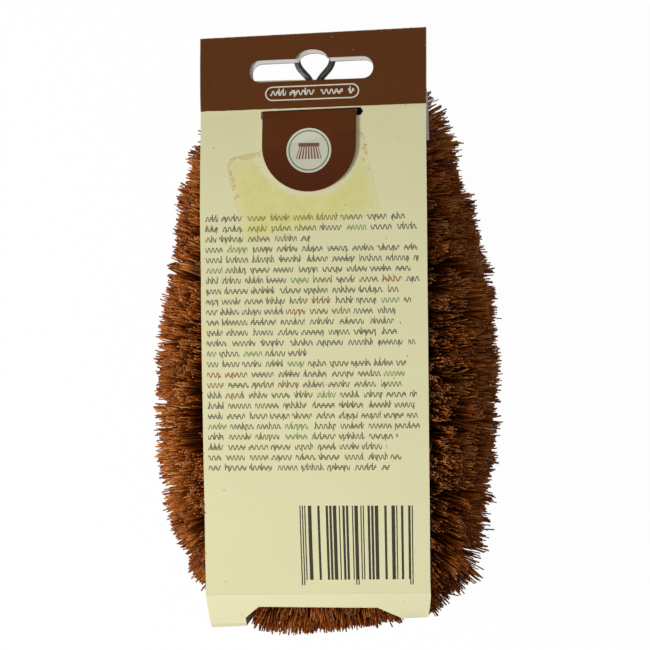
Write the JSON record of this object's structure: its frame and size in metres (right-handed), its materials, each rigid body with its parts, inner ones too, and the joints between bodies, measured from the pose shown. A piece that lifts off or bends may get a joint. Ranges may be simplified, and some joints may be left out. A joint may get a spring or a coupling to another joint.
{
  "type": "scrub brush",
  "caption": "Egg-shaped coir scrub brush on a twisted wire ring with a hanging eye, in a folded card sleeve closed by a tuck tongue and a clear label.",
  "frame": {"origin": "on the outer face of the sleeve's front panel, level with the middle of the ring and on the middle plane", "axes": "+Z from the front panel to the back panel, +Y towards the header and the eye, +X to the brush's right seen from above"},
  "size_m": [0.0971, 0.165, 0.0505],
  "materials": {
    "wire": "dull galvanised",
    "coir": "stiff natural fibre",
    "cream_card": "uncoated board",
    "brown_card": "printed board",
    "clear_film": "clear film"
  },
  "bodies": {
    "brush": {"core_wire": "wire", "coir_bundle_01": "coir", "coir_bundle_02": "coir", "coir_bundle_03": "coir", "coir_bundle_04": "coir", "coir_bundle_05": "coir", "coir_bundle_06": "coir", "coir_bundle_07": "coir", "coir_bundle_08": "coir", "coir_bundle_09": "coir", "coir_bundle_10": "coir", "coir_bundle_11": "coir", "coir_bundle_12": "coir", "coir_bundle_13": "coir", "coir_bundle_14": "coir"},
    "sleeve": {"card_sleeve": "cream_card"},
    "tongue": {"tuck_tongue": "brown_card", "clear_label": "clear_film"}
  },
  "joints": [
    {"name": "sleeve_slide", "type": "slide", "parent": "brush", "child": "sleeve", "axis": [1, 0, 0], "range_m": [-0.085, 0.085]},
    {"name": "tongue_lift", "type": "hinge", "parent": "sleeve", "child": "tongue", "pos_m": [0, 0.06944, 0.0438], "axis": [-1, 0, 0], "range_deg": [0, 110]}
  ]
}
